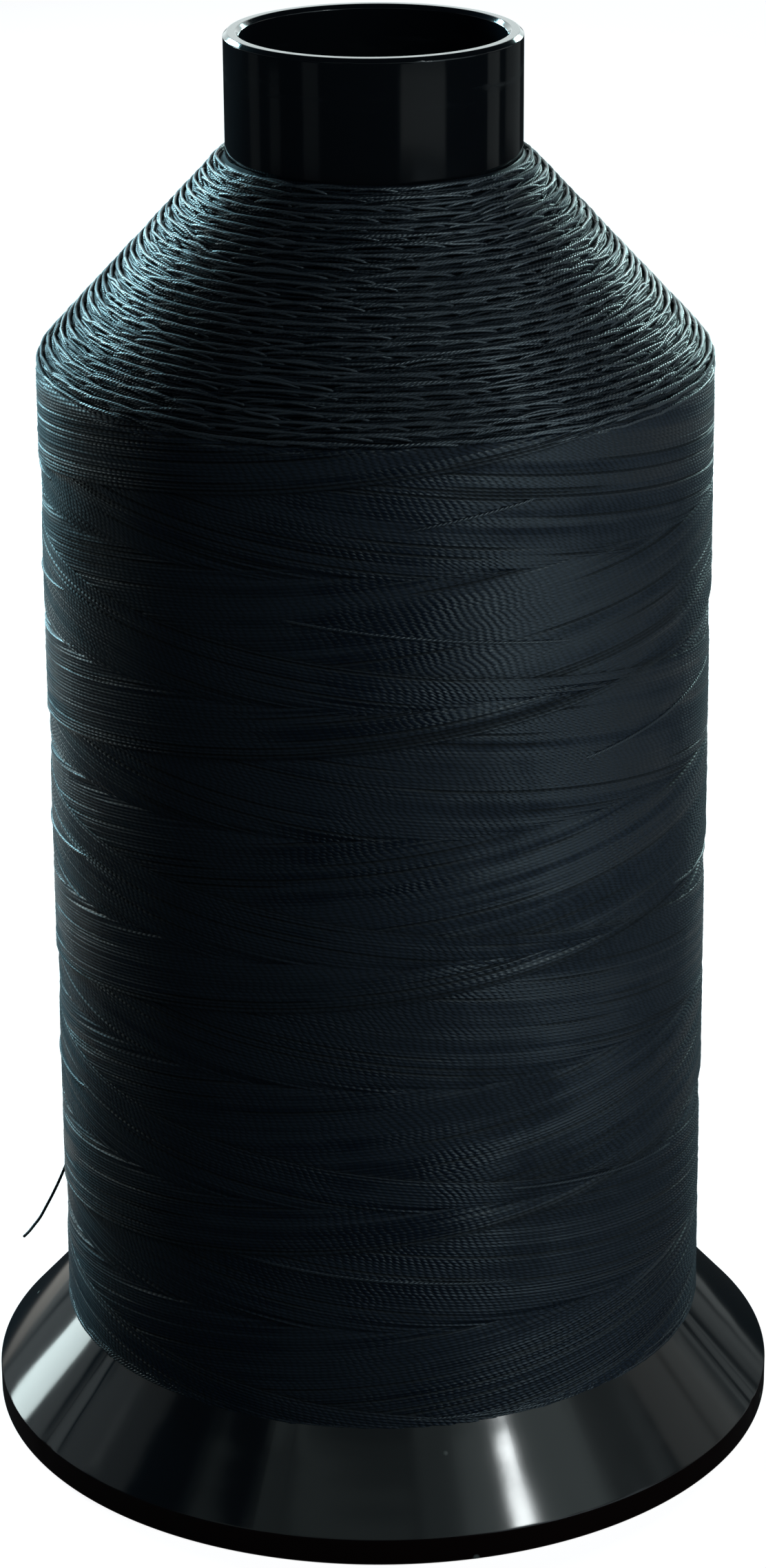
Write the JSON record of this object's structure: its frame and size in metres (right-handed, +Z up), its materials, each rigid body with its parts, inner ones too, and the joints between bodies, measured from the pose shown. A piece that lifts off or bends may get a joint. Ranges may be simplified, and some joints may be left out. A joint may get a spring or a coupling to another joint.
{
  "type": "spool of thread",
  "caption": "King spool of bonded sewing thread: hollow barrel with an open neck, flared hollow base, wound package with a sloped shoulder and a loose thread end.",
  "frame": {"origin": "centre of the base rim's underside, on the barrel's axis", "axes": "+Z up the barrel from the base to the neck, -Y towards the viewer's side, the loose end leaves on the -X side"},
  "size_m": [0.102, 0.102, 0.18],
  "materials": {
    "black_plastic": "polished black moulding with fine scuffs and dust",
    "thread": "bonded twisted thread, blue-black, waxy sheen"
  },
  "bodies": {
    "root": {"barrel": "black_plastic", "base_flange": "black_plastic", "thread_core": "thread", "outer_turns": "thread", "loose_end": "thread"}
  },
  "joints": []
}
